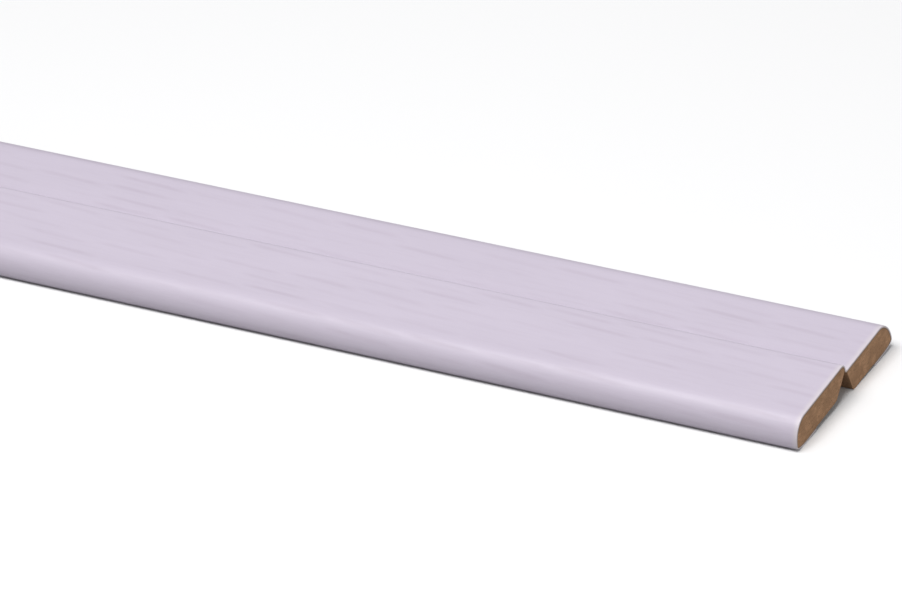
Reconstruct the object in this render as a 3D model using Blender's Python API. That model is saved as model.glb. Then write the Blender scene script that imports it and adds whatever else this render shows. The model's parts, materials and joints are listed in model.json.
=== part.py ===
"""Flexible corner moulding: two fibreboard strips side by side, wrapped in one printed decor film.

The film is also the hinge: it runs over the near strip, down a low step at the strip's inner edge and
on over the far strip, which sits lower by that step. A groove between the strips opens downwards, so
the far strip folds up for an inside corner of a wall and down, until the groove closes, for an
outside one. Metres, +Z up. X runs along the moulding, and its cut end faces +X. The sections are
drawn in a plane of their own, with the fold line at (0, 0), and then the whole moulding is tipped to
the slight slope on which it lies, on the rounded edge of the near strip and on the groove edge of
the far one.
"""
import math

import bpy

# Overall sizes
LENGTH = 0.280            # from cut end to cut end
NEAR_WIDTH = 0.0294       # near strip over its film, from the fold to its outer edge
FAR_WIDTH = 0.0249        # far strip likewise
CORE_THICKNESS = 0.0072   # fibreboard, without film
FILM_THICKNESS = 0.0006
GLUE_GAP = 0.0002         # clearance between fibreboard and film
STEP_HEIGHT = 0.00285     # how far the far strip's face lies below the near strip's

# Rounded outer edge of both strips, as two quarter ellipses
EDGE_DEPTH = 0.0052       # how far in from the outer edge the face starts to fall
EDGE_FALL = 0.0063        # from the face down to the widest point
UNDER_WRAP = 0.0107       # how far the film reaches under each strip, from its outer edge

# Groove and fold
NEAR_BEVEL = math.radians(47.0)    # slope of the near strip's inner edge, from the vertical
FAR_BEVEL = math.radians(14.5)     # slope of the far strip's inner edge, from the vertical
NEAR_GROOVE_RADIUS = 0.0022        # round lower corner of the near bevel
FAR_GROOVE_RADIUS = 0.0010         # round lower corner of the far bevel
STEP_EDGE_RADIUS = 0.0013          # top edge of the step
BEVEL_START = 0.00025              # height above the fold at which the near bevel starts
FOLD_GAP = 0.0003                  # from the fold line to the ends of both film halves
FOLD_CLEARANCE = 0.00015           # from the step's film to the far film when folded square

# Facets
EDGE_STEPS = 12           # in each quarter of a rounded outer edge
CORNER_STEPS = 6          # in each small corner
TILT_HALVINGS = 48        # of the interval in which the resting slope is sought
MAX_TILT = math.radians(25.0)

# Colours, roughness and metallic values
CORE_FINISH = ((0.215, 0.125, 0.074, 1.0), 0.9, 0.0)
FILM_FINISH = ((0.658, 0.597, 0.694, 1.0), 0.42, 0.0)

SKIN = FILM_THICKNESS + GLUE_GAP           # from the fibreboard to the film's outer face


def clear_scene():
    """Removes every object that the file holds."""
    for obj in list(bpy.data.objects):
        bpy.data.objects.remove(obj, do_unlink=True)


def make_material(name, finish):
    """A Principled material from a colour, a roughness and a metallic value."""
    colour, roughness, metallic = finish
    material = bpy.data.materials.new(name)
    material.use_nodes = True
    shader = material.node_tree.nodes["Principled BSDF"]
    shader.inputs["Base Color"].default_value = colour
    shader.inputs["Roughness"].default_value = roughness
    shader.inputs["Metallic"].default_value = metallic
    material.diffuse_color = colour
    return material


def ellipse_arc(centre, radii, start_deg, end_deg, steps):
    """Points along an ellipse about centre, both ends included."""
    points = []
    for index in range(steps + 1):
        angle = math.radians(start_deg + (end_deg - start_deg) * index / steps)
        points.append((centre[0] + radii[0] * math.cos(angle), centre[1] + radii[1] * math.sin(angle)))
    return points


def rounded_corner(corner, towards_a, towards_b, radius, steps):
    """Points of a circular fillet at a corner between two straight sides."""
    ax, ay = towards_a[0] - corner[0], towards_a[1] - corner[1]
    bx, by = towards_b[0] - corner[0], towards_b[1] - corner[1]
    len_a = math.hypot(ax, ay)
    len_b = math.hypot(bx, by)
    ax, ay, bx, by = ax / len_a, ay / len_a, bx / len_b, by / len_b
    half = math.acos(ax * bx + ay * by) / 2
    radius = min(radius, 0.45 * min(len_a, len_b) * math.tan(half))
    mid_x, mid_y = ax + bx, ay + by
    mid_length = math.hypot(mid_x, mid_y)
    reach = radius / math.sin(half)
    centre = (corner[0] + mid_x / mid_length * reach, corner[1] + mid_y / mid_length * reach)
    run = radius / math.tan(half)
    start = math.atan2(corner[1] + ay * run - centre[1], corner[0] + ax * run - centre[0])
    end = math.atan2(corner[1] + by * run - centre[1], corner[0] + bx * run - centre[0])
    turn = (end - start + math.pi) % (2 * math.pi) - math.pi
    points = []
    for index in range(steps + 1):
        angle = start + turn * index / steps
        points.append((centre[0] + radius * math.cos(angle), centre[1] + radius * math.sin(angle)))
    return points


def mirrored(points):
    """The same points on the other side of the fold line."""
    return [(-across, height) for across, height in points]


def outer_edge(width, face, offset):
    """Rounded outer edge of a strip on the near side, from its underside round to its face.

    width is the strip's over its film and face the height of the fibreboard's face. offset moves
    the outline out from the fibreboard.
    """
    centre = (EDGE_DEPTH + SKIN - width, face - EDGE_FALL)
    below = (EDGE_DEPTH + offset, CORE_THICKNESS - EDGE_FALL + offset)
    above = (EDGE_DEPTH + offset, EDGE_FALL + offset)
    lower = ellipse_arc(centre, below, 270, 180, EDGE_STEPS)
    upper = ellipse_arc(centre, above, 180, 90, EDGE_STEPS)
    return lower + upper[1:]


def near_core_outline():
    """Section of the near strip's fibreboard, from its underside round to the groove."""
    face = STEP_HEIGHT - SKIN
    underside = face - CORE_THICKNESS
    inner = -FOLD_CLEARANCE - SKIN
    foot = inner - (BEVEL_START - underside) * math.tan(NEAR_BEVEL)
    edge = outer_edge(NEAR_WIDTH, face, 0.0)
    radius = STEP_EDGE_RADIUS
    step_edge = ellipse_arc((inner - radius, face - radius), (radius, radius), 90, 0, CORNER_STEPS)
    bevel_top = (inner, BEVEL_START)
    groove_edge = rounded_corner((foot, underside), bevel_top, edge[0], NEAR_GROOVE_RADIUS, CORNER_STEPS)
    return edge + step_edge + [bevel_top] + groove_edge


def far_core_outline():
    """Section of the far strip's fibreboard, with the same rounded edge, mirrored."""
    face = -SKIN
    underside = face - CORE_THICKNESS
    tip = (FOLD_GAP, face)
    foot = (FOLD_GAP + CORE_THICKNESS * math.tan(FAR_BEVEL), underside)
    edge = mirrored(outer_edge(FAR_WIDTH, face, 0.0))
    groove_edge = rounded_corner(foot, tip, edge[0], FAR_GROOVE_RADIUS, CORNER_STEPS)
    return edge + [tip] + groove_edge


def near_film_side(offset):
    """One side of the near film, from its edge under the strip to its end at the fold."""
    face = STEP_HEIGHT - SKIN
    edge = outer_edge(NEAR_WIDTH, face, offset)
    turned_under = (UNDER_WRAP - NEAR_WIDTH, edge[0][1])
    radius = STEP_EDGE_RADIUS
    centre = (-FOLD_CLEARANCE - SKIN - radius, face - radius)
    step_edge = ellipse_arc(centre, (radius + offset, radius + offset), 90, 0, CORNER_STEPS)
    return [turned_under] + edge + step_edge + [(step_edge[-1][0], FOLD_GAP)]


def far_film_side(offset):
    """One side of the far film, from its edge under the strip to its end at the fold."""
    edge = mirrored(outer_edge(FAR_WIDTH, -SKIN, offset))
    turned_under = (FAR_WIDTH - UNDER_WRAP, edge[0][1])
    return [turned_under] + edge + [(FOLD_GAP, edge[-1][1])]


def film_outline(side):
    """Closed section of a film half, from the functions of its outer and inner side."""
    return side(SKIN) + side(GLUE_GAP)[::-1]


def tipped(points, tilt):
    """Section points turned about the fold line, outer edge of the far strip upwards."""
    cos, sin = math.cos(tilt), math.sin(tilt)
    return [(across * cos - height * sin, across * sin + height * cos) for across, height in points]


def lowest(points, tilt):
    """Height of the lowest of the points once they are tipped."""
    return min(height for _, height in tipped(points, tilt))


def resting_tilt(near_points, far_points):
    """Slope at which both strips touch a flat surface, by halving an interval."""
    low, high = 0.0, MAX_TILT
    for _ in range(TILT_HALVINGS):
        middle = (low + high) / 2
        if lowest(near_points, middle) > lowest(far_points, middle):
            low = middle
        else:
            high = middle
    return (low + high) / 2


def make_empty(name, parent, collection):
    """A frame to place pieces in."""
    empty = bpy.data.objects.new(name, None)
    empty.empty_display_size = NEAR_WIDTH
    empty.parent = parent
    collection.objects.link(empty)
    return empty


def make_extrusion(name, outline, material, parent, collection):
    """A solid of the given section, as long as the moulding, from a filled and extruded curve."""
    curve = bpy.data.curves.new(name, "CURVE")
    curve.dimensions = "2D"
    curve.fill_mode = "BOTH"
    curve.extrude = LENGTH / 2
    spline = curve.splines.new("POLY")
    spline.points.add(len(outline) - 1)
    for point, (across, height) in zip(spline.points, outline):
        point.co = (across, height, 0.0, 1.0)
    spline.use_cyclic_u = True
    curve.materials.append(material)
    piece = bpy.data.objects.new(name, curve)
    # the curve's own Z runs along the moulding, and its X across it
    piece.rotation_euler = (math.pi / 2, 0.0, math.pi / 2)
    piece.parent = parent
    collection.objects.link(piece)
    return piece


def main():
    """Builds the moulding, lying on the ground with its middle over the origin."""
    clear_scene()
    collection = bpy.data.collections.new("flexible_corner_moulding")
    bpy.context.scene.collection.children.link(collection)
    core_material = make_material("fibreboard", CORE_FINISH)
    film_material = make_material("decor_film", FILM_FINISH)

    near_core = near_core_outline()
    near_film = film_outline(near_film_side)
    far_core = far_core_outline()
    far_film = film_outline(far_film_side)

    tilt = resting_tilt(near_core + near_film, far_core + far_film)
    placed = tipped(near_core + near_film + far_core + far_film, tilt)
    across_values = [across for across, _ in placed]
    lying = make_empty("lying_frame", None, collection)
    lying.rotation_euler = (tilt, 0.0, 0.0)
    middle = (min(across_values) + max(across_values)) / 2
    lying.location = (0.0, -middle, -min(height for _, height in placed))
    fold = make_empty("fold_axis", lying, collection)

    make_extrusion("near_strip", near_core, core_material, lying, collection)
    make_extrusion("near_film", near_film, film_material, lying, collection)
    make_extrusion("far_strip", far_core, core_material, fold, collection)
    make_extrusion("far_film", far_film, film_material, fold, collection)


main()
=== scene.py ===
"""Looks of a flexible corner moulding: fibreboard strips, and the one printed film that wraps them.

Metres, +Z up, X along the moulding. The strips are drawn in the plane of their section, in which the
fold line is at (0, 0), and are then tipped to the slight slope on which the moulding lies. A section
point is (across, height), with the near strip on the side of negative across.
"""

import json
import math

import bmesh
import bpy
import numpy as np
from mathutils import Matrix, Vector


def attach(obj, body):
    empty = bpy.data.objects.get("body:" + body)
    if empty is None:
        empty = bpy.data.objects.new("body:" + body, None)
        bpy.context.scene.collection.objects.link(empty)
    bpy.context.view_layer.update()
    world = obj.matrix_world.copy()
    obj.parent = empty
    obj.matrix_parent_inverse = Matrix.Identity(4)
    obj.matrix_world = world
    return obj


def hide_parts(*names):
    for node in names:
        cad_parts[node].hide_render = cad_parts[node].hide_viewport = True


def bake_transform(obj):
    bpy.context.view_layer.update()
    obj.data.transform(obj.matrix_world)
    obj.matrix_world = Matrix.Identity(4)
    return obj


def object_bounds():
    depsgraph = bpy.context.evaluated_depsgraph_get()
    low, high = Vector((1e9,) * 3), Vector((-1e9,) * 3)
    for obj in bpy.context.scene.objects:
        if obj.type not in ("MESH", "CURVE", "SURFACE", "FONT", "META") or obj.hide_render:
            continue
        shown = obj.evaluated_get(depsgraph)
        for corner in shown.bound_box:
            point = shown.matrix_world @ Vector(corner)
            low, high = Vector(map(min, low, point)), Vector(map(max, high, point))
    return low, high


bl_info = {
    "name": "Flexible corner moulding",
    "version": (1, 0, 0),
    "blender": (4, 5, 0),
    "location": "3D View > Sidebar > Moulding",
    "description": "Makes the film, the fibreboard strips and the studio of a flexible corner moulding",
    "category": "Add Mesh",
}

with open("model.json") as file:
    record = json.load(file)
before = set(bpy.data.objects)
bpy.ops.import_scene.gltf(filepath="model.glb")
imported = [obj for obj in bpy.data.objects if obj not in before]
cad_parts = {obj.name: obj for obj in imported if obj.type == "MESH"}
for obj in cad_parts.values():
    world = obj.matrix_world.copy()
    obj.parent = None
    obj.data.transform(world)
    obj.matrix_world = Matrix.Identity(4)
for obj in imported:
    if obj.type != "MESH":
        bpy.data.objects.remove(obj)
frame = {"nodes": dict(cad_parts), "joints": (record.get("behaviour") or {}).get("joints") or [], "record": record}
CAD_BOX = [list(corner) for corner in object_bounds()]

# Place of the section in the frame
FOLD = np.array(frame["joints"][0]["pos_m"])
BACK_AXIS = frame["record"]["mounts"][0]["axis"]
SLOPE = math.atan2(BACK_AXIS[1], -BACK_AXIS[2])
END_X = CAD_BOX[1][0]                     # half the moulding's length


def section_of(node):
    """Across and height of all points of a node: its points turned back by the slope about the fold."""
    mesh = frame["nodes"][node].data
    points = np.empty(len(mesh.vertices) * 3, np.float32)
    mesh.vertices.foreach_get("co", points)
    _, y, z = (points.reshape(-1, 3) - FOLD).T
    across = y * math.cos(SLOPE) + z * math.sin(SLOPE)
    height = z * math.cos(SLOPE) - y * math.sin(SLOPE)
    return across, height


NEAR_BOARD = section_of("near_strip")
FAR_BOARD = section_of("far_strip")
NEAR_FILM = section_of("near_film")
FAR_FILM = section_of("far_film")

# Sizes of the section, read from the frame
BOARD_THICKNESS = float(np.ptp(NEAR_BOARD[1]))
NEAR_UNDERSIDE = float(NEAR_BOARD[1].min())
FAR_UNDERSIDE = float(FAR_BOARD[1].min())
NEAR_INNER = float(NEAR_BOARD[0].max())
FAR_INNER = float(FAR_BOARD[0].min())
NEAR_BOARD_WIDTH = float(np.ptp(NEAR_BOARD[0]))
FAR_BOARD_WIDTH = float(np.ptp(FAR_BOARD[0]))
SKIN = float(NEAR_FILM[1].max() - NEAR_BOARD[1].max())   # from the board to the film's outer face
TOUCH = 0.00001                           # how far a height may be from the lowest to count as lowest
NEAR_WRAP_END = float(NEAR_FILM[0][NEAR_FILM[1] < NEAR_FILM[1].min() + TOUCH].max())
FAR_WRAP_END = float(FAR_FILM[0][FAR_FILM[1] < FAR_FILM[1].min() + TOUCH].min())

# Form of the edges
EDGE_DEPTH = 0.0052       # how far in from a board's outer edge its face starts to fall
EDGE_FALL = 0.0063        # from a board's face down to its widest point
STEP_EDGE_RADIUS = 0.0013
NEAR_BEVEL = math.radians(47.0)
FAR_BEVEL = math.radians(14.5)
NEAR_BEVEL_TOP = 0.0054   # height of the near bevel's upper end over the underside
NEAR_GROOVE_RADIUS = 0.0022
FAR_GROOVE_RADIUS = 0.0010

# Points of the surfaces
FILM_STEP = 0.002         # between the film's cross rows
FILM_END_STEPS = [0.0012, 0.0006, 0.0003, 0.00015, 0.00008, 0.00004]
BOARD_STEP = 0.004
BOARD_END_STEPS = [0.002, 0.0008, 0.0003, 0.0001]
WRAP_POINTS = 9           # across the turned-under part of the film
WRAP_WANDER = 0.0005      # how far its slit edge wanders
EASED_LENGTH = 0.0007     # length over which the film's surface falls away at a cut end
BOARD_COLUMNS = 121       # across a board
BOARD_LEVELS = 33         # from its back to its face
MERGE = 0.000002          # distance under which points of a seam are one point
SMOOTH_UNDER = math.radians(32.0)

# Studio
FLOOR_REACH = 4.0
MIDDLE = (0.0, 0.0, 0.0)
CUT_END = (END_X, 0.0, 0.0)
NEUTRAL_LIGHT = (1.0, 1.0, 1.0)
WARM_LIGHT = (1.0, 0.99, 0.97)
SKY_COLOUR = (0.96, 0.97, 1.0, 1.0)


class MouldingFilm(bpy.types.PropertyGroup):
    """Sizes and colours of the printed film."""
    fold_radius: bpy.props.FloatProperty(
        name="Fold radius", description="Radius of the film in the corner at the foot of the step",
        default=0.0005, min=0.00005, unit="LENGTH")
    glue_gap: bpy.props.FloatProperty(
        name="Glue gap", description="From the board to the film's inner face",
        default=0.00003, min=0.0, unit="LENGTH")
    waviness: bpy.props.FloatProperty(
        name="Waviness", description="Depth of the shallow waves in the film's surface",
        default=0.00002, min=0.0, unit="LENGTH")
    edge_easing: bpy.props.FloatProperty(
        name="Edge easing", description="How far the film's surface falls away at a cut end",
        default=0.00012, min=0.0, unit="LENGTH")
    print_pitch: bpy.props.FloatProperty(
        name="Print pitch", description="Distance across between the rows of the printed grain",
        default=0.0043, min=0.0005, unit="LENGTH")
    dash_length: bpy.props.FloatProperty(
        name="Dash length", description="Length of one broad streak of the printed grain",
        default=0.023, min=0.001, unit="LENGTH")
    colour: bpy.props.FloatVectorProperty(
        name="Film colour", description="Ground colour of the print",
        default=(0.640, 0.578, 0.683), size=3, min=0.0, max=1.0, subtype="COLOR")
    grain_colour: bpy.props.FloatVectorProperty(
        name="Grain colour", description="Colour of the printed grain's streaks",
        default=(0.560, 0.493, 0.590), size=3, min=0.0, max=1.0, subtype="COLOR")
    body_colour: bpy.props.FloatVectorProperty(
        name="Body colour", description="Colour of the film where it is cut",
        default=(0.76, 0.70, 0.72), size=3, min=0.0, max=1.0, subtype="COLOR")
    back_colour: bpy.props.FloatVectorProperty(
        name="Back colour", description="Colour of the film's back with its glue",
        default=(0.30, 0.20, 0.135), size=3, min=0.0, max=1.0, subtype="COLOR")


class MouldingBoards(bpy.types.PropertyGroup):
    """Sizes and colours of the fibreboard strips."""
    tear_depth: bpy.props.FloatProperty(
        name="Tear depth", description="Depth of the fibres torn out of a sawn end",
        default=0.00009, min=0.0, unit="LENGTH")
    colour: bpy.props.FloatVectorProperty(
        name="Board colour", description="Colour of the fibreboard's sanded back",
        default=(0.56, 0.38, 0.25), size=3, min=0.0, max=1.0, subtype="COLOR")
    sawn_colour: bpy.props.FloatVectorProperty(
        name="Sawn colour", description="Colour of the fibreboard where it is sawn or milled",
        default=(0.64, 0.37, 0.21), size=3, min=0.0, max=1.0, subtype="COLOR")
    dark_fibre: bpy.props.FloatVectorProperty(
        name="Dark fibre", description="Colour of the darkest fibres and specks",
        default=(0.17, 0.095, 0.052), size=3, min=0.0, max=1.0, subtype="COLOR")


class MouldingStudio(bpy.types.PropertyGroup):
    """Floor, lights and camera."""
    floor_colour: bpy.props.FloatVectorProperty(
        name="Floor colour", description="Colour of the plain floor",
        default=(0.97, 0.97, 0.972), size=3, min=0.0, max=1.0, subtype="COLOR")
    floor_return: bpy.props.FloatVectorProperty(
        name="Floor return", description="Share of the light that the floor throws back on the moulding",
        default=(0.32, 0.32, 0.32), size=3, min=0.0, max=1.0, subtype="COLOR")
    key_power: bpy.props.FloatProperty(
        name="Overhead light", description="Power of the wide light overhead, in watts",
        default=15.4, min=0.0, unit="POWER")
    shine_power: bpy.props.FloatProperty(
        name="Rear light", description="Power of the small light whose shine runs along the rounded edge",
        default=1.5, min=0.0, unit="POWER")
    side_power: bpy.props.FloatProperty(
        name="End light", description="Power of the light towards the cut end, in watts",
        default=5.6, min=0.0, unit="POWER")
    back_power: bpy.props.FloatProperty(
        name="Back light", description="Power of the light behind the far strip, in watts",
        default=1.6, min=0.0, unit="POWER")
    sky_strength: bpy.props.FloatProperty(
        name="Room light", description="Strength of the even light from all round",
        default=0.18, min=0.0)
    azimuth: bpy.props.FloatProperty(
        name="Azimuth", description="Way to the camera, from -Y towards +X",
        default=math.radians(33.654), subtype="ANGLE")
    elevation: bpy.props.FloatProperty(
        name="Elevation", description="Height of the camera over the horizon",
        default=math.radians(31.646), subtype="ANGLE")
    roll: bpy.props.FloatProperty(
        name="Roll", description="Turn of the camera about its own line of sight",
        default=math.radians(-7.199), subtype="ANGLE")
    distance: bpy.props.FloatProperty(
        name="Distance", description="From the point aimed at to the camera",
        default=1.9, min=0.1, unit="LENGTH")
    aim: bpy.props.FloatVectorProperty(
        name="Aim", description="Point in the middle of the picture",
        default=(0.04739, -0.03897, 0.03101), size=3, subtype="XYZ", unit="LENGTH")
    lens: bpy.props.FloatProperty(
        name="Lens", description="Focal length for a picture 36 mm wide",
        default=291.99, min=20.0, unit="CAMERA")


# Surfaces as whole arrays

def lattice_noise(u, v, seed):
    """Smooth noise from 0 to 1: random values at whole (u, v), eased between by 3t^2 - 2t^3 each way."""
    table = np.random.default_rng(seed).random((64, 64))
    column = np.floor(u).astype(int)
    row = np.floor(v).astype(int)
    s = u - column
    t = v - row
    s = s * s * (3 - 2 * s)
    t = t * t * (3 - 2 * t)
    left, right = column % 64, (column + 1) % 64
    low, high = row % 64, (row + 1) % 64
    lower = table[left, low] * (1 - s) + table[right, low] * s
    upper = table[left, high] * (1 - s) + table[right, high] * s
    return lower * (1 - t) + upper * t


def along_positions(step, end_steps):
    """Places along the moulding: even steps between its ends, with closer ones at each end."""
    inner = END_X - sum(end_steps)
    even = np.linspace(-inner, inner, int(2 * inner / step) + 1)
    close = inner + np.cumsum(end_steps)
    return np.concatenate([-close[::-1], even, close])


def arc(centre, radii, start, end, count):
    """Points on an ellipse about centre: centre + (radii_x cos a, radii_y sin a), a in degrees."""
    angle = np.radians(np.linspace(start, end, count))
    return np.stack([centre[0] + radii[0] * np.cos(angle), centre[1] + radii[1] * np.sin(angle)], 1)


def line(start, end, count):
    """Points evenly along a straight line."""
    share = np.linspace(0.0, 1.0, count)[:, None]
    return np.array(start) * (1 - share) + np.array(end) * share


def film_side(offset, radius):
    """One face of the film, from its edge under the near strip to its edge under the far one.

    Quarter ellipses and straight lines at the given offset from the boards, with a hollow of the
    given radius in the corner below the step. Each face has the same number of points.
    """
    drop = BOARD_THICKNESS - EDGE_FALL
    near_centre = (NEAR_INNER - NEAR_BOARD_WIDTH + EDGE_DEPTH, NEAR_UNDERSIDE + drop)
    far_centre = (FAR_INNER + FAR_BOARD_WIDTH - EDGE_DEPTH, FAR_UNDERSIDE + drop)
    near_face = NEAR_UNDERSIDE + BOARD_THICKNESS
    wide = EDGE_DEPTH + offset
    step_centre = (NEAR_INNER - STEP_EDGE_RADIUS, near_face - STEP_EDGE_RADIUS)
    step_round = STEP_EDGE_RADIUS + offset
    hollow_centre = (NEAR_INNER + SKIN + radius, radius)
    hollow = radius + SKIN - offset
    runs = [
        line((NEAR_WRAP_END, NEAR_UNDERSIDE - offset), (near_centre[0], NEAR_UNDERSIDE - offset), WRAP_POINTS),
        arc(near_centre, (wide, drop + offset), 270, 180, 14),
        arc(near_centre, (wide, EDGE_FALL + offset), 180, 90, 28),
        line((near_centre[0], near_face + offset), (step_centre[0], near_face + offset), 26),
        arc(step_centre, (step_round, step_round), 90, 0, 10),
        line((NEAR_INNER + offset, step_centre[1]), (NEAR_INNER + offset, radius), 6),
        arc(hollow_centre, (hollow, hollow), 180, 270, 10),
        line((hollow_centre[0], offset - SKIN), (far_centre[0], offset - SKIN), 25),
        arc(far_centre, (wide, EDGE_FALL + offset), 90, 0, 28),
        arc(far_centre, (wide, drop + offset), 0, -90, 14),
        line((far_centre[0], FAR_UNDERSIDE - offset), (FAR_WRAP_END, FAR_UNDERSIDE - offset), WRAP_POINTS),
    ]
    return np.concatenate([runs[0]] + [run[1:] for run in runs[1:]])


def board_faces(reach, width, bevel, bevel_top, groove_radius, top_radius):
    """Heights of a board's back and face over its underside, at a distance from its inner edge.

    The back rises to the inner edge as a straight bevel that meets it in an arc. The face falls at
    the inner edge by a quarter circle, and both close at the outer edge as quarter ellipses.
    """
    foot = bevel_top * math.tan(bevel)
    turn = math.pi / 2 - bevel
    tangent = groove_radius * math.tan(turn / 2)
    from_arc = np.clip((foot + tangent - reach) / groove_radius, 0.0, math.sin(turn))
    rounded = groove_radius * (1 - np.sqrt(1 - from_arc ** 2))
    bevelled = bevel_top - reach / math.tan(bevel)
    on_bevel = reach < foot + tangent - groove_radius * math.sin(turn)
    back = np.where(on_bevel, bevelled, rounded)
    edge = np.clip((reach - width + EDGE_DEPTH) / EDGE_DEPTH, 0.0, 1.0)
    closing = 1 - np.sqrt(1 - edge ** 2)
    back = back + (BOARD_THICKNESS - EDGE_FALL) * closing
    shoulder = np.clip(top_radius - reach, 0.0, top_radius)
    face = BOARD_THICKNESS - top_radius + np.sqrt(top_radius ** 2 - shoulder ** 2) - EDGE_FALL * closing
    return back, face


def placed(x, across, height):
    """Points in the frame: section points tipped by the slope about the fold, at x along it."""
    y = FOLD[1] + across * math.cos(SLOPE) - height * math.sin(SLOPE)
    z = FOLD[2] + across * math.sin(SLOPE) + height * math.cos(SLOPE)
    return np.stack(np.broadcast_arrays(x, y, z), -1)


def grid_quads(rows, columns, first=0):
    """Corners of the quads of a grid of points numbered row by row from first."""
    corner = first + np.arange(rows - 1)[:, None] * columns + np.arange(columns - 1)
    return np.stack([corner, corner + 1, corner + columns + 1, corner + columns], -1).reshape(-1, 4)


def mesh_object(name, points, quads):
    """A new object at the origin with these points and quads."""
    mesh = bpy.data.meshes.new(name)
    mesh.from_pydata(points.reshape(-1, 3).tolist(), [], quads.tolist())
    piece = bpy.data.objects.new(name, mesh)
    bpy.context.scene.collection.objects.link(piece)
    return piece


def point_attribute(piece, name, values):
    """A number for each point, which the materials read."""
    attribute = piece.data.attributes.new(name, "FLOAT", "POINT")
    attribute.data.foreach_set("value", np.asarray(values, np.float32).ravel())


def close_seams(piece):
    """Makes points of a seam one, drops faces without area, and turns all faces outwards."""
    shell = bmesh.new()
    shell.from_mesh(piece.data)
    bmesh.ops.remove_doubles(shell, verts=shell.verts[:], dist=MERGE)
    bmesh.ops.dissolve_degenerate(shell, edges=shell.edges[:], dist=MERGE)
    bmesh.ops.recalc_face_normals(shell, faces=shell.faces[:])
    shell.to_mesh(piece.data)
    shell.free()
    piece.data.shade_smooth()
    piece.data.set_sharp_from_angle(angle=SMOOTH_UNDER)


# Nodes of the materials

def put(tree, kind, inputs=None, **settings):
    """Adds a node, with its settings and with a value or a link for each named input."""
    made = tree.nodes.new(kind)
    for name, value in settings.items():
        setattr(made, name, value)
    for key, value in (inputs or {}).items():
        if isinstance(value, bpy.types.NodeSocket):
            tree.links.new(value, made.inputs[key])
        else:
            made.inputs[key].default_value = value
    return made


def calc(tree, operation, *terms, clamp=False):
    """Result of a Math node."""
    node = put(tree, "ShaderNodeMath", dict(enumerate(terms)), operation=operation, use_clamp=clamp)
    return node.outputs[0]


def ramp(tree, value, start, end, low=0.0, high=1.0):
    """A value eased from low to high as it goes from start to end."""
    node = put(tree, "ShaderNodeMapRange", {0: value, 1: start, 2: end, 3: low, 4: high},
               interpolation_type="SMOOTHSTEP")
    return node.outputs[0]


def mix(tree, share, first, second, blend="MIX"):
    """Two colours mixed by a share."""
    node = put(tree, "ShaderNodeMix", {0: share, 6: first, 7: second}, data_type="RGBA", blend_type=blend)
    return node.outputs[2]


def noise(tree, along, across, upward=0.0, detail=2.0, roughness=0.5):
    """Noise from 0 to 1 at a point whose three terms are already in cells."""
    point = put(tree, "ShaderNodeCombineXYZ", {0: along, 1: across, 2: upward})
    node = put(tree, "ShaderNodeTexNoise",
               {"Vector": point.outputs[0], "Scale": 1.0, "Detail": detail, "Roughness": roughness})
    return node.outputs["Fac"]


def new_group(name, inputs, outputs):
    """A node group with float or colour sockets, and its input and output nodes."""
    tree = bpy.data.node_groups.new(name, "ShaderNodeTree")
    for label, default in inputs:
        socket = tree.interface.new_socket(label, in_out="INPUT", socket_type="NodeSocketFloat")
        socket.default_value = default
    for label in outputs:
        tree.interface.new_socket(label, in_out="OUTPUT", socket_type="NodeSocketFloat")
    return tree, put(tree, "NodeGroupInput"), put(tree, "NodeGroupOutput")


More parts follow.
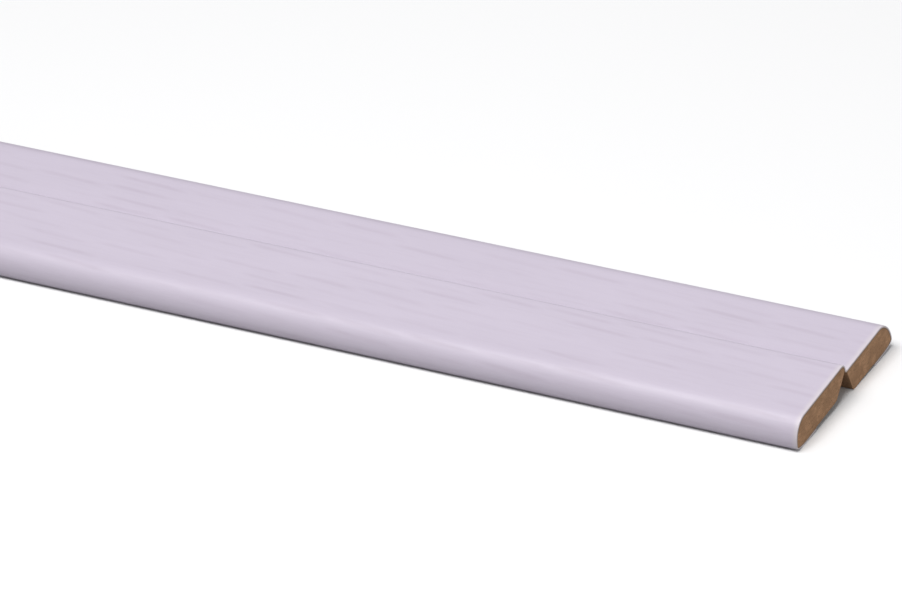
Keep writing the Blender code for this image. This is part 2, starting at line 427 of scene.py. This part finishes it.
def streaks_group():
    """Streaks in rows: each row is broken into dashes, which slant a little and fade at their ends.

    A row is the whole part of (across + sway) / pitch, and a dash the whole part of along / length,
    shifted by a random share for each row. A dash's line lies at a random share of its row and
    falls by the slant from one end of the dash to the other. Its strength is random too.
    """
    tree, start, end = new_group(
        "Grain streaks",
        [("Along", 0.0), ("Across", 0.0), ("Pitch", 0.0043), ("Half Width", 0.16), ("Dash Length", 0.026),
         ("Slant", 0.25), ("Spread", 0.22), ("Sway", 0.0006)],
        ["Streaks"])
    along, across = start.outputs["Along"], start.outputs["Across"]
    pitch, length = start.outputs["Pitch"], start.outputs["Dash Length"]
    slow = noise(tree, calc(tree, "DIVIDE", along, 0.075), calc(tree, "DIVIDE", across, 0.009), 3.7)
    sway = calc(tree, "MULTIPLY", calc(tree, "SUBTRACT", slow, 0.5), start.outputs["Sway"])
    row = calc(tree, "DIVIDE", calc(tree, "MULTIPLY_ADD", sway, 4.0, across), pitch)
    index = calc(tree, "FLOOR", row)
    chance = put(tree, "ShaderNodeTexWhiteNoise", {"W": index}, noise_dimensions="1D").outputs["Value"]
    run = calc(tree, "MULTIPLY_ADD", chance, 19.0, calc(tree, "DIVIDE", along, length))
    dash = calc(tree, "FLOOR", run)
    share = calc(tree, "SUBTRACT", calc(tree, "FRACT", run), 0.5)
    cell = put(tree, "ShaderNodeCombineXYZ", {0: index, 1: dash}).outputs[0]
    pick = put(tree, "ShaderNodeTexWhiteNoise", {"Vector": cell}, noise_dimensions="2D")
    place = calc(tree, "MULTIPLY_ADD", calc(tree, "SUBTRACT", chance, 0.5), 0.3, 0.5)
    shift = calc(tree, "MULTIPLY", calc(tree, "SUBTRACT", pick.outputs["Value"], 0.5), start.outputs["Spread"])
    fall = calc(tree, "MULTIPLY", share, start.outputs["Slant"])
    place = calc(tree, "SUBTRACT", calc(tree, "ADD", place, shift), fall)
    off = calc(tree, "ABSOLUTE", calc(tree, "SUBTRACT", calc(tree, "FRACT", row), place))
    soft = put(tree, "ShaderNodeMapRange",
               {0: off, 1: 0.0, 2: start.outputs["Half Width"], 3: 1.0, 4: 0.0},
               interpolation_type="SMOOTHSTEP").outputs[0]
    ends = ramp(tree, calc(tree, "ABSOLUTE", share), 0.26, 0.5, 1.0, 0.25)
    shade = put(tree, "ShaderNodeSeparateColor", {0: pick.outputs["Color"]}).outputs[0]
    strength = calc(tree, "MULTIPLY", ramp(tree, shade, 0.05, 0.95, 0.15, 1.0), ends)
    tree.links.new(calc(tree, "MULTIPLY", soft, strength), end.inputs["Streaks"])
    return tree


def cut_end_group():
    """How near a point is to a cut end: 1 at the end, falling to 0 at the given reach from it."""
    tree, start, end = new_group("Nearness to a cut end", [("Along", 0.0), ("Reach", 0.001)], ["Nearness"])
    inward = calc(tree, "SUBTRACT", END_X, calc(tree, "ABSOLUTE", start.outputs["Along"]))
    share = calc(tree, "DIVIDE", inward, start.outputs["Reach"])
    tree.links.new(ramp(tree, share, 0.0, 1.0, 1.0, 0.0), end.inputs["Nearness"])
    return tree


def speckle_group():
    """Fibres and specks: noise stretched along and across the board and thin through it."""
    tree, start, end = new_group(
        "Fibres and specks",
        [("Along", 0.0), ("Across", 0.0), ("Up", 0.0), ("Fibre Length", 0.0018), ("Fibre Width", 0.0003)],
        ["Fibres", "Specks", "Clouds"])
    along, across, up = (start.outputs[name] for name in ("Along", "Across", "Up"))
    length, width = start.outputs["Fibre Length"], start.outputs["Fibre Width"]
    cells = [calc(tree, "DIVIDE", along, length), calc(tree, "DIVIDE", across, length),
             calc(tree, "DIVIDE", up, width)]
    fibres = noise(tree, *cells, detail=3.0, roughness=0.65)
    fine = [calc(tree, "DIVIDE", term, 0.00042) for term in (along, across, up)]
    specks = ramp(tree, noise(tree, *fine, detail=1.0), 0.60, 0.74)
    broad = [calc(tree, "DIVIDE", term, 0.0045) for term in (along, across, up)]
    clouds = noise(tree, *broad, detail=3.0)
    for name, socket in (("Fibres", fibres), ("Specks", specks), ("Clouds", clouds)):
        tree.links.new(socket, end.inputs[name])
    return tree


def shared_group(name, maker):
    """The node group of that name, built the first time it is asked for."""
    return bpy.data.node_groups.get(name) or maker()


def place_group(tree, name, maker, inputs):
    """A shared node group placed in a material."""
    node = put(tree, "ShaderNodeGroup", node_tree=shared_group(name, maker))
    for key, value in inputs.items():
        if isinstance(value, bpy.types.NodeSocket):
            tree.links.new(value, node.inputs[key])
        else:
            node.inputs[key].default_value = value
    return node


def new_material(name):
    """A material with only its Principled shader and its output, and its node tree."""
    material = bpy.data.materials.new(name)
    material.use_nodes = True
    tree = material.node_tree
    return material, tree, tree.nodes["Principled BSDF"]


def rgba(colour):
    """A colour property as four numbers."""
    return (*colour, 1.0)


def film_material(values):
    """Satin printed film: ground colour, broad and fine streaks, white cut edge, brown back."""
    material, tree, shader = new_material("decor_film")
    surface = put(tree, "ShaderNodeUVMap", uv_map="FilmMap")
    split = put(tree, "ShaderNodeSeparateXYZ", {0: surface.outputs[0]})
    along, across = split.outputs[0], split.outputs[1]
    depth = put(tree, "ShaderNodeAttribute", attribute_name="film_depth").outputs["Fac"]
    broad = place_group(tree, "Grain streaks", streaks_group, {
        "Along": along, "Across": across, "Pitch": values.print_pitch, "Half Width": 0.26,
        "Dash Length": values.dash_length, "Slant": 0.25, "Spread": 0.22, "Sway": 0.0006}).outputs[0]
    narrow = place_group(tree, "Grain streaks", streaks_group, {
        "Along": calc(tree, "ADD", along, 0.531), "Across": across, "Pitch": values.print_pitch * 0.5,
        "Half Width": 0.3, "Dash Length": values.dash_length * 0.45, "Slant": 0.2, "Spread": 0.3,
        "Sway": 0.0004}).outputs[0]
    hair = noise(tree, calc(tree, "DIVIDE", along, 0.0075), calc(tree, "DIVIDE", across, 0.00034), 1.3,
                 detail=3.0, roughness=0.6)
    tone = noise(tree, calc(tree, "DIVIDE", along, 0.055), calc(tree, "DIVIDE", across, 0.009), 5.1,
                 detail=3.0)
    near_end = place_group(tree, "Nearness to a cut end", cut_end_group,
                           {"Along": along, "Reach": 0.0018}).outputs[0]

    grain = calc(tree, "MULTIPLY", broad, 0.68)
    grain = calc(tree, "MULTIPLY_ADD", narrow, 0.2, grain)
    grain = calc(tree, "MULTIPLY_ADD", ramp(tree, hair, 0.35, 0.75), 0.15, grain)
    printed = mix(tree, grain, rgba(values.colour), rgba(values.grain_colour))
    lighter = tuple(min(1.0, part * 1.045) for part in values.colour)
    printed = mix(tree, ramp(tree, tone, 0.3, 0.75, 0.0, 0.55), printed, rgba(lighter))
    printed = mix(tree, calc(tree, "MULTIPLY", near_end, 0.6), printed, rgba(values.body_colour))
    below = ramp(tree, depth, 0.02, 0.12)
    cut = mix(tree, ramp(tree, depth, 0.45, 0.75), rgba(values.body_colour), rgba(values.back_colour))
    colour = mix(tree, below, printed, cut)

    relief = calc(tree, "MULTIPLY", grain, -1.0)
    pores = noise(tree, calc(tree, "DIVIDE", along, 0.0022), calc(tree, "DIVIDE", across, 0.00018), 8.2,
                  detail=2.0)
    relief = calc(tree, "MULTIPLY_ADD", ramp(tree, pores, 0.52, 0.70), -0.7, relief)
    bump = put(tree, "ShaderNodeBump", {"Height": relief, "Strength": 0.35, "Distance": 0.00004})
    gloss = calc(tree, "MULTIPLY_ADD", grain, 0.10, 0.36)
    gloss = calc(tree, "MULTIPLY_ADD", below, 0.3, gloss)
    tree.links.new(colour, shader.inputs["Base Color"])
    tree.links.new(gloss, shader.inputs["Roughness"])
    tree.links.new(bump.outputs[0], shader.inputs["Normal"])
    return material


def board_material(values):
    """Fibreboard: sanded pale back, darker sawn ends and milled groove, all of fine felted fibres."""
    material, tree, shader = new_material("fibreboard")
    place = put(tree, "ShaderNodeTexCoord").outputs["Object"]
    level = put(tree, "ShaderNodeMapping", {"Vector": place, "Rotation": (-SLOPE, 0.0, 0.0)})
    split = put(tree, "ShaderNodeSeparateXYZ", {0: level.outputs[0]})
    along, across, up = split.outputs
    worked = put(tree, "ShaderNodeAttribute", attribute_name="worked").outputs["Fac"]
    face_depth = put(tree, "ShaderNodeAttribute", attribute_name="face_depth").outputs["Fac"]
    felt = place_group(tree, "Fibres and specks", speckle_group,
                       {"Along": along, "Across": across, "Up": up})
    fibres, specks, clouds = felt.outputs

    ground = mix(tree, worked, rgba(values.colour), rgba(values.sawn_colour))
    darker = mix(tree, 0.55, ground, rgba(values.dark_fibre))
    lighter = mix(tree, 0.6, ground, rgba(values.colour))
    colour = mix(tree, ramp(tree, fibres, 0.30, 0.72, 0.85, 0.0), ground, darker)
    colour = mix(tree, ramp(tree, fibres, 0.55, 0.80), colour, lighter)
    colour = mix(tree, ramp(tree, clouds, 0.40, 0.60, 0.0, 0.7), colour, darker)
    colour = mix(tree, calc(tree, "MULTIPLY", specks, 0.55), colour, rgba(values.dark_fibre))
    dense = ramp(tree, face_depth, 0.0, 0.0011, 0.5, 0.0)
    colour = mix(tree, calc(tree, "MULTIPLY", dense, worked), colour, darker)

    relief = calc(tree, "MULTIPLY_ADD", specks, -0.6, fibres)
    bump = put(tree, "ShaderNodeBump", {"Height": relief, "Strength": 0.7, "Distance": 0.00012})
    matt = calc(tree, "MULTIPLY_ADD", worked, 0.12, 0.78)
    tree.links.new(colour, shader.inputs["Base Color"])
    tree.links.new(matt, shader.inputs["Roughness"])
    tree.links.new(bump.outputs[0], shader.inputs["Normal"])
    shader.inputs["Specular IOR Level"].default_value = 0.25
    return material


def make_film(values):
    """The film as one closed sheet: both faces of its section carried along X, and its cut edges."""
    x = along_positions(FILM_STEP, FILM_END_STEPS)
    outer = film_side(SKIN, values.fold_radius)
    inner = film_side(values.glue_gap, values.fold_radius)
    run = np.concatenate([[0.0], np.cumsum(np.hypot(*np.diff(outer, axis=0).T))])

    # waves and eased ends thin the film from outside, in shares of its thickness
    x_grid, run_grid = np.meshgrid(x, run, indexing="ij")
    waves = 0.6 * lattice_noise(x_grid / 0.021 + 9.0, run_grid / 0.006 + 4.0, 11)
    waves += 0.4 * lattice_noise(x_grid / 0.0065 + 30.0, run_grid / 0.0028 + 7.0, 12)
    from_end = np.clip((END_X - np.abs(x)) / EASED_LENGTH, 0.0, 1.0)
    eased = values.edge_easing * (1 - from_end) ** 2
    thinner = (values.waviness * waves + eased[:, None]) / (SKIN - values.glue_gap)
    outside = outer[None] * (1 - thinner[..., None]) + inner[None] * thinner[..., None]
    inside = np.broadcast_to(inner, outside.shape).copy()

    # the turned-under edges were slit by hand, so they wander a little
    outwards = np.linspace(1.0, 0.0, WRAP_POINTS)
    near_wrap = (slice(0, WRAP_POINTS), outwards, 21)
    far_wrap = (slice(-WRAP_POINTS, None), outwards[::-1], 22)
    for side, share, seed in (near_wrap, far_wrap):
        wander = (lattice_noise(x / 0.017 + 11.0, x * 0.0, seed) - 0.5) * WRAP_WANDER
        for face in (outside, inside):
            face[:, side, 0] += wander[:, None] * share

    ring = np.concatenate([outside, inside[:, ::-1]], 1)
    points = placed(x[:, None], ring[..., 0], ring[..., 1])
    around = ring.shape[1]
    numbers = np.arange(len(x) * around).reshape(len(x), around)
    closed = np.concatenate([numbers, numbers[:, :1]], 1)
    sides = np.stack([closed[:-1, :-1], closed[:-1, 1:], closed[1:, 1:], closed[1:, :-1]], -1)
    quads = [sides.reshape(-1, 4)]
    half = len(outer)
    for row, turn in ((numbers[0], 1), (numbers[-1], -1)):
        out, back = row[:half], row[half:][::-1]
        end = np.stack([out[:-1], back[:-1], back[1:], out[1:]], -1)
        quads.append(end[:, ::turn])
    film = mesh_object("decor_film", points, np.concatenate(quads))

    both = np.concatenate([run, run[::-1]])
    depth = np.concatenate([np.zeros(half), np.ones(half)])
    point_attribute(film, "film_depth", np.broadcast_to(depth, (len(x), around)))
    layer = film.data.uv_layers.new(name="FilmMap")
    loops = np.empty(len(film.data.loops), np.int32)
    film.data.loops.foreach_get("vertex_index", loops)
    places = np.stack([np.repeat(x, around), np.tile(both, len(x))], 1)
    layer.data.foreach_set("uv", places[loops].astype(np.float32).ravel())
    close_seams(film)
    film.data.materials.append(film_material(values))

    # two points at the ends of the hollow, from the step's face to the far strip's, which nothing uses
    corner = NEAR_INNER + SKIN
    start = placed(0.0, corner - values.fold_radius, values.fold_radius)
    end = placed(0.0, corner + values.fold_radius, -values.fold_radius)
    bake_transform(film)
    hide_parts("near_film", "far_film")
    return film


def make_board(name, node, body, inner, underside, way, faces, width, values, seed):
    """A strip as the shell of a block of three parameters: along X, out from the inner edge, and up.

    Out goes from the inner edge to the outer one, closer together at both. Up goes from the back to
    the face. A sawn end lies back from the true end by the depth of the fibres torn from it.
    """
    x = along_positions(BOARD_STEP, BOARD_END_STEPS)
    share = np.linspace(0.0, 1.0, BOARD_COLUMNS)
    reach = width * (0.5 - 0.5 * np.cos(math.pi * share)) * 0.55 + width * share * 0.45
    up = np.linspace(0.0, 1.0, BOARD_LEVELS)
    back, face = board_faces(reach, width, *faces)

    def block(x_part, reach_index, up_part):
        """Points of the block, with the sawn ends set back where x is at an end."""
        height = back[reach_index] * (1 - up_part) + face[reach_index] * up_part
        far = reach[reach_index]
        torn = lattice_noise(far / 0.0007 + 5.0, height / 0.00022 + 3.0, seed)
        torn = torn * 0.6 + 0.4 * lattice_noise(far / 0.0022 + 8.0, height / 0.0008 + 6.0, seed + 1)
        torn = values.tear_depth * torn ** 2
        placed_x = np.sign(x_part) * np.minimum(np.abs(x_part), END_X - torn)
        return placed(placed_x, inner + way * far, underside + height)

    columns = np.arange(len(reach))
    sheets = []
    for end in (x[0], x[-1]):
        sheets.append((block(end, columns[:, None], up[None, :]), 1.0))
    groove = faces[1] * math.tan(faces[0])
    for level in (0.0, 1.0):
        milled = np.where(reach < groove, 1.0, 0.0)[None, :] * (1.0 - level)
        sheets.append((block(x[:, None], columns[None, :], level), milled))
    for column, mask in ((0, 1.0), (len(reach) - 1, 0.0)):
        sheets.append((block(x[:, None], column, up[None, :]), mask))
    points, quads, worked, first = [], [], [], 0
    for sheet, mask in sheets:
        rows, across = sheet.shape[:2]
        points.append(sheet.reshape(-1, 3))
        quads.append(grid_quads(rows, across, first))
        worked.append(np.broadcast_to(mask, (rows, across)).ravel())
        first += rows * across
    points = np.concatenate(points)
    board = mesh_object(name, points, np.concatenate(quads))
    point_attribute(board, "worked", np.concatenate(worked))
    relative = points - FOLD
    height = relative[:, 2] * math.cos(SLOPE) - relative[:, 1] * math.sin(SLOPE) - underside
    point_attribute(board, "face_depth", np.minimum(height, BOARD_THICKNESS - height))
    close_seams(board)
    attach(board, body)
    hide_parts(node)
    return board


def add_area_light(name, place, aim, size, power, colour):
    """A square soft light at a place, turned to the point it lights."""
    data = bpy.data.lights.new(name, "AREA")
    data.shape = "SQUARE"
    data.size = size
    data.energy = power
    data.color = colour
    light = bpy.data.objects.new(name, data)
    light.location = place
    light.rotation_euler = (Vector(aim) - Vector(place)).to_track_quat("-Z", "Y").to_euler()
    bpy.context.scene.collection.objects.link(light)
    return light


def make_floor(values):
    """A plain pale floor under the moulding, which throws back less light on it than it shows."""
    side = np.linspace(-FLOOR_REACH, FLOOR_REACH, 3)
    across, deep = np.meshgrid(side, side)
    points = np.stack([across, deep, np.zeros_like(across)], -1)
    floor = mesh_object("studio_floor", points, grid_quads(3, 3))
    material, tree, shader = new_material("studio_floor")
    seen = put(tree, "ShaderNodeLightPath").outputs["Is Camera Ray"]
    shown = mix(tree, seen, rgba(values.floor_return), rgba(values.floor_colour))
    tree.links.new(shown, shader.inputs["Base Color"])
    shader.inputs["Roughness"].default_value = 0.9
    shader.inputs["Specular IOR Level"].default_value = 0.2
    floor.data.materials.append(material)
    return floor


def make_camera(values):
    """The camera, on a line from the point aimed at, turned about that line by the roll."""
    data = bpy.data.cameras.new("picture_camera")
    data.sensor_width = 36.0
    data.lens = values.lens
    data.clip_start = 0.05
    data.clip_end = 50.0
    camera = bpy.data.objects.new("picture_camera", data)
    flat = math.cos(values.elevation)
    way = Vector((math.sin(values.azimuth) * flat, -math.cos(values.azimuth) * flat,
                  math.sin(values.elevation)))
    turn = (-way).to_track_quat("-Z", "Y").to_matrix().to_4x4()
    place = Matrix.Translation(Vector(values.aim) + way * values.distance)
    camera.matrix_world = place @ turn @ Matrix.Rotation(values.roll, 4, "Z")
    bpy.context.scene.collection.objects.link(camera)
    bpy.context.scene.camera = camera
    return camera


class MOULDING_OT_film(bpy.types.Operator):
    """Makes the printed film that wraps both strips and bends at the fold"""
    bl_idname = "moulding.film"
    bl_label = "Add film"

    def execute(self, context):
        make_film(context.scene.moulding_film)
        return {"FINISHED"}


class MOULDING_OT_boards(bpy.types.Operator):
    """Makes the two fibreboard strips"""
    bl_idname = "moulding.boards"
    bl_label = "Add fibreboard strips"

    def execute(self, context):
        values = context.scene.moulding_boards
        near_faces = (NEAR_BEVEL, NEAR_BEVEL_TOP, NEAR_GROOVE_RADIUS, STEP_EDGE_RADIUS)
        far_faces = (FAR_BEVEL, BOARD_THICKNESS, FAR_GROOVE_RADIUS, 0.0)
        near = make_board("near_board", "near_strip", "near", NEAR_INNER, NEAR_UNDERSIDE, -1.0,
                          near_faces, NEAR_BOARD_WIDTH, values, 31)
        far = make_board("far_board", "far_strip", "far", FAR_INNER, FAR_UNDERSIDE, 1.0,
                         far_faces, FAR_BOARD_WIDTH, values, 41)
        material = board_material(values)
        for board in (near, far):
            board.data.materials.append(material)
        return {"FINISHED"}


class MOULDING_OT_studio(bpy.types.Operator):
    """Makes the floor, the lights and the camera"""
    bl_idname = "moulding.studio"
    bl_label = "Add studio"

    def execute(self, context):
        values = context.scene.moulding_studio
        scene = context.scene
        make_floor(values)
        make_camera(values)
        add_area_light("overhead_light", (0.0, -0.38, 1.25), MIDDLE, 0.9, values.key_power, NEUTRAL_LIGHT)
        add_area_light("rear_light", (-0.63, -0.28, 1.16), MIDDLE, 0.36, values.shine_power, NEUTRAL_LIGHT)
        add_area_light("end_light", (1.42, -0.22, 0.25), CUT_END, 0.9, values.side_power, WARM_LIGHT)
        add_area_light("back_light", (0.1, 1.3, 0.45), MIDDLE, 0.8, values.back_power, NEUTRAL_LIGHT)
        world = bpy.data.worlds.new("studio_room")
        world.use_nodes = True
        room = world.node_tree.nodes["Background"]
        room.inputs["Color"].default_value = SKY_COLOUR
        room.inputs["Strength"].default_value = values.sky_strength
        scene.world = world
        scene.view_settings.view_transform = "Standard"
        scene.view_settings.look = "None"
        return {"FINISHED"}


class MOULDING_PT_tools(bpy.types.Panel):
    """Lists what this add-on makes"""
    bl_idname = "MOULDING_PT_tools"
    bl_label = "Corner moulding"
    bl_space_type = "VIEW_3D"
    bl_region_type = "UI"
    bl_category = "Moulding"

    def draw(self, context):
        for group, operator in PANEL_ROWS:
            column = self.layout.column(align=True)
            column.operator(operator)
            values = getattr(context.scene, group)
            for name in values.bl_rna.properties.keys():
                if name not in {"rna_type", "name"}:
                    column.prop(values, name)


PANEL_ROWS = (
    ("moulding_film", "moulding.film"),
    ("moulding_boards", "moulding.boards"),
    ("moulding_studio", "moulding.studio"),
)
SETTINGS = (
    ("moulding_film", MouldingFilm),
    ("moulding_boards", MouldingBoards),
    ("moulding_studio", MouldingStudio),
)
CLASSES = (MouldingFilm, MouldingBoards, MouldingStudio, MOULDING_OT_film, MOULDING_OT_boards,
           MOULDING_OT_studio, MOULDING_PT_tools)


def register():
    """Registers the classes and puts the settings on the scene."""
    for kind in CLASSES:
        bpy.utils.register_class(kind)
    for name, kind in SETTINGS:
        setattr(bpy.types.Scene, name, bpy.props.PointerProperty(type=kind))


def unregister():
    """Takes the settings off the scene and the classes out again."""
    for name, _ in SETTINGS:
        delattr(bpy.types.Scene, name)
    for kind in reversed(CLASSES):
        bpy.utils.unregister_class(kind)


def main():
    """Makes everything in order."""
    register()
    bpy.ops.moulding.studio()
    bpy.ops.moulding.film()
    bpy.ops.moulding.boards()


if __name__ == "__main__":
    main()
